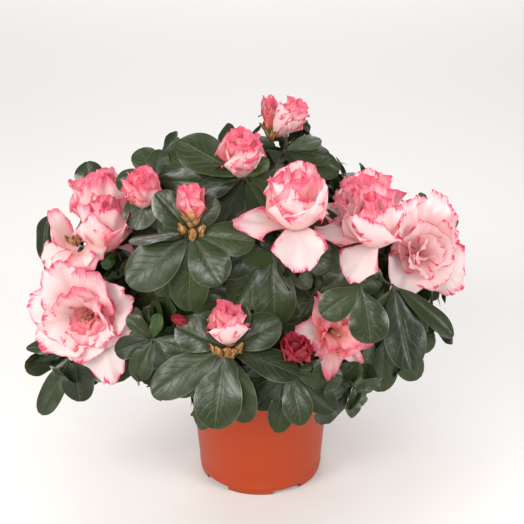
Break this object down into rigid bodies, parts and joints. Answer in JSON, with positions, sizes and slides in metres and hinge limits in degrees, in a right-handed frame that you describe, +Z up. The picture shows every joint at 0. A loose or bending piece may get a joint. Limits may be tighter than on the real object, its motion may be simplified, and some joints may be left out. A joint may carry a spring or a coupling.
{
  "type": "potted azalea shrub",
  "caption": "Small evergreen azalea in flower in a round plastic pot: short stem, spreading boughs and a low domed crown of dark glossy leaves and ruffled pink and white blossom.",
  "frame": {"origin": "middle of the pot's flat underside, where it stands", "axes": "+Z up along the pot's axis; -Y is the front, with the lowest hanging leaf cluster; +X is to the right seen from the front"},
  "size_m": [0.3151, 0.3111, 0.2968],
  "materials": {
    "pot_plastic": "terracotta-coloured moulded plastic with a soft sheen",
    "peat": "dark moist peat potting soil",
    "bark": "thin brown bark, slightly flaking",
    "leaves": "dark green leathery leaves with a satin gloss",
    "blossom": "soft matt petals, white to blush with deep pink ruffled edges"
  },
  "bodies": {
    "root": {"pot": "pot_plastic", "root_ball": "peat", "main_stem": "bark", "bough_to_left_low_blossom": "bark", "bough_to_left_hanging_leaves": "bark", "bough_to_left_high_blossom": "bark", "bough_to_left_crest_leaves": "bark", "bough_to_middle_left_leaves": "bark", "bough_to_middle_blossom": "bark", "bough_to_top_leaves": "bark", "bough_to_crest_buds": "bark", "bough_to_right_high_blossom": "bark", "bough_to_right_blossom": "bark", "bough_to_right_low_leaves": "bark", "bough_to_front_right_blossom": "bark", "bough_to_front_leaves": "bark", "bough_to_left_front_leaves": "bark", "bough_to_left_rear_leaves": "bark", "bough_to_rear_left_leaves": "bark", "bough_to_rear_leaves": "bark", "bough_to_rear_right_leaves": "bark", "bough_to_right_rear_leaves": "bark", "bough_to_rear_left_crest": "bark", "bough_to_rear_right_crest": "bark", "left_low_blossom": "blossom", "left_hanging_leaves": "leaves", "left_high_blossom": "blossom", "left_crest_leaves": "leaves", "middle_left_leaves": "leaves", "middle_blossom": "blossom", "top_leaves": "leaves", "crest_buds": "leaves", "right_high_blossom": "blossom", "right_blossom": "blossom", "right_low_leaves": "leaves", "front_right_blossom": "blossom", "front_leaves": "leaves", "left_front_leaves": "leaves", "left_rear_leaves": "leaves", "rear_left_leaves": "leaves", "rear_leaves": "leaves", "rear_right_leaves": "leaves", "right_rear_leaves": "leaves", "rear_left_crest": "leaves", "rear_right_crest": "leaves"}
  },
  "joints": []
}
